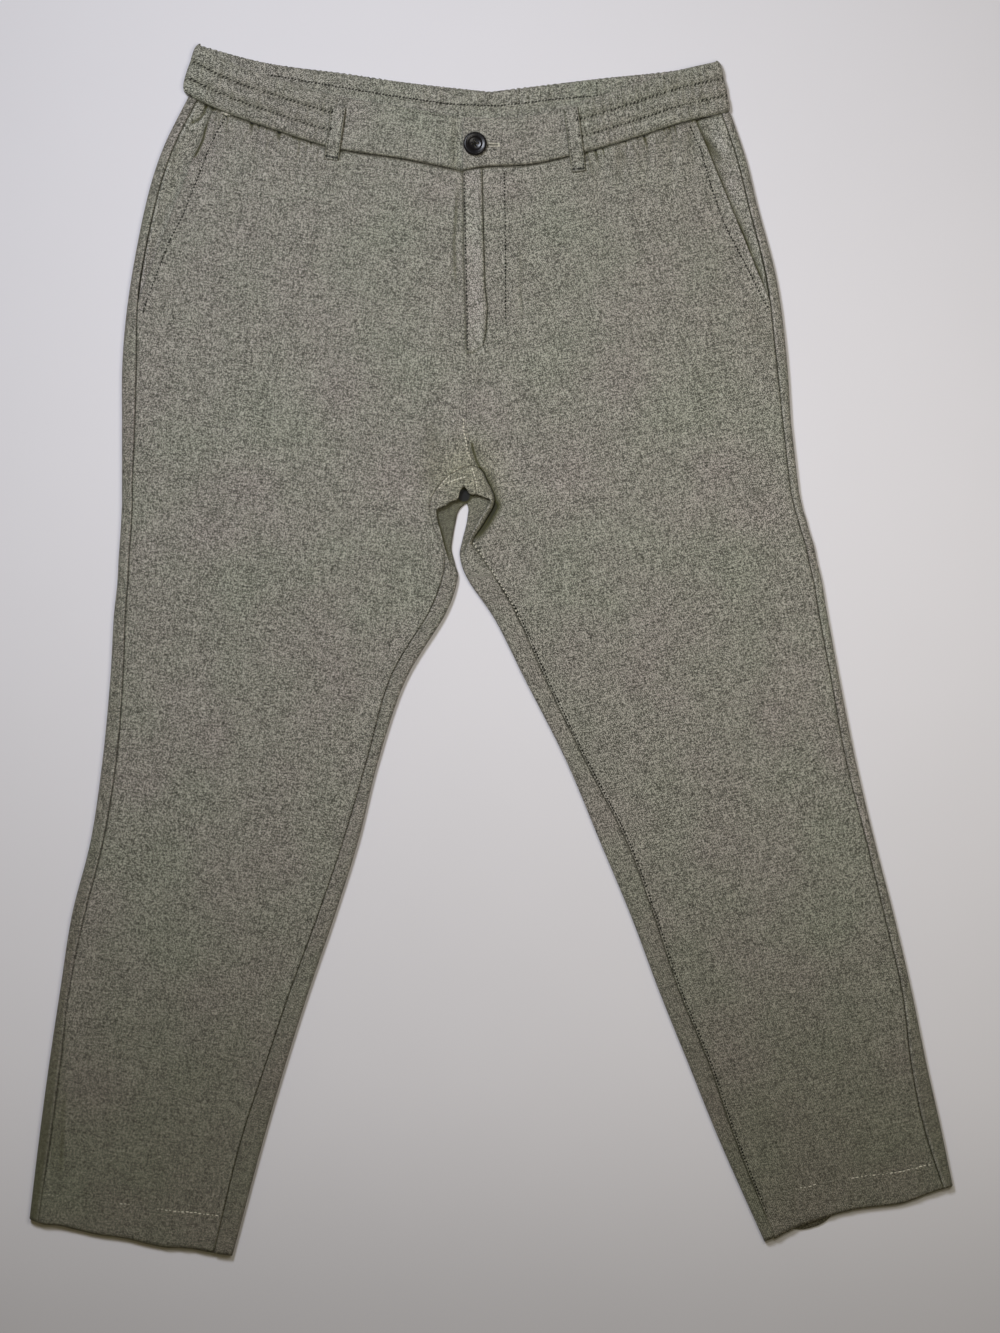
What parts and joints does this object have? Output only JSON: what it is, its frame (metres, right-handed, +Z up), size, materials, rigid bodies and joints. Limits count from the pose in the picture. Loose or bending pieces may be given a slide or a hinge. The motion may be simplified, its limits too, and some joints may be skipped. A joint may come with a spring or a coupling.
{
  "type": "linen-look trousers with elastic waist",
  "caption": "Long trousers with a part-elastic waistband, buttoned fly, belt loops and slant pockets, laid flat on their back.",
  "frame": {"origin": "centre of the garment's box, on the surface that it lies on", "axes": "+X to the wearer's left, +Y from the hems up to the waistband, +Z up from the surface, front of the garment up"},
  "size_m": [0.7838, 1.0285, 0.0109],
  "materials": {
    "linen_cloth": "grey-green flecked twill of linen and cotton, washed and matt",
    "waistband_cloth": "the same twill, folded double, with darker stitching",
    "button_plastic": "polished black resin",
    "sewing_thread": "dark olive sewing thread"
  },
  "bodies": {
    "root": {"front_right": "linen_cloth", "front_left": "linen_cloth", "back_right": "linen_cloth", "back_left": "linen_cloth", "pocket_facing_right": "linen_cloth", "pocket_facing_left": "linen_cloth", "fly_shield": "linen_cloth", "waistband_elastic": "waistband_cloth", "waistband_right": "waistband_cloth", "waistband_left": "waistband_cloth", "belt_loop_right": "waistband_cloth", "belt_loop_left": "waistband_cloth", "button": "button_plastic", "button_shank": "sewing_thread"}
  },
  "joints": []
}
